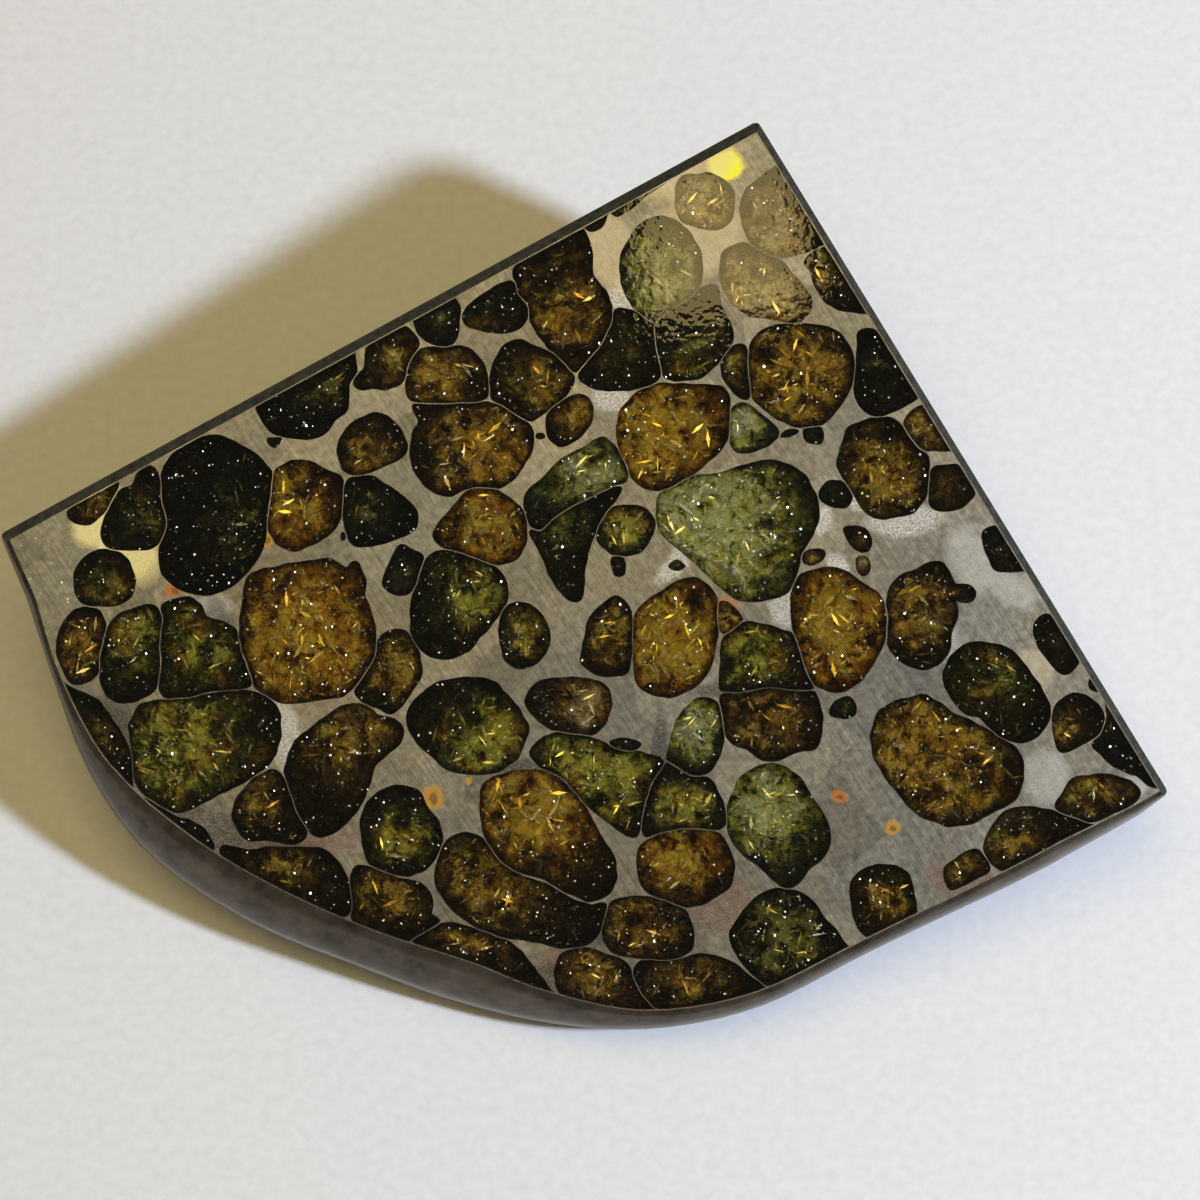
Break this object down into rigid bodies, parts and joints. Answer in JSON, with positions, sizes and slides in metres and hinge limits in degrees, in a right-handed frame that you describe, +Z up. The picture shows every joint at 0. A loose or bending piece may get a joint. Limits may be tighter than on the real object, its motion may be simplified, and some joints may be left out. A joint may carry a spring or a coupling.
{
  "type": "pallasite meteorite end cut",
  "caption": "Wedge-like end cut of a stony-iron meteorite with one polished face, two sawn sides and a rounded natural back, resting on a flat spot.",
  "frame": {"origin": "middle of the bounding box at its base, on the surface that the stone rests on", "axes": "+Z up, +X from the left corner of the polished face towards its right corner, and the polished face leans towards -Y"},
  "size_m": [0.1172, 0.088, 0.0335],
  "materials": {
    "nickel_iron": "ground and polished nickel-iron with fine straight grinding lines, warm grey to brassy",
    "olivine": "polished see-through olivine, dark brown, amber and green, full of fine cracks",
    "natural_skin": "smooth dark brown-grey natural outside with a low gloss"
  },
  "bodies": {
    "root": {"pallasite_end_cut": "nickel_iron"}
  },
  "joints": []
}
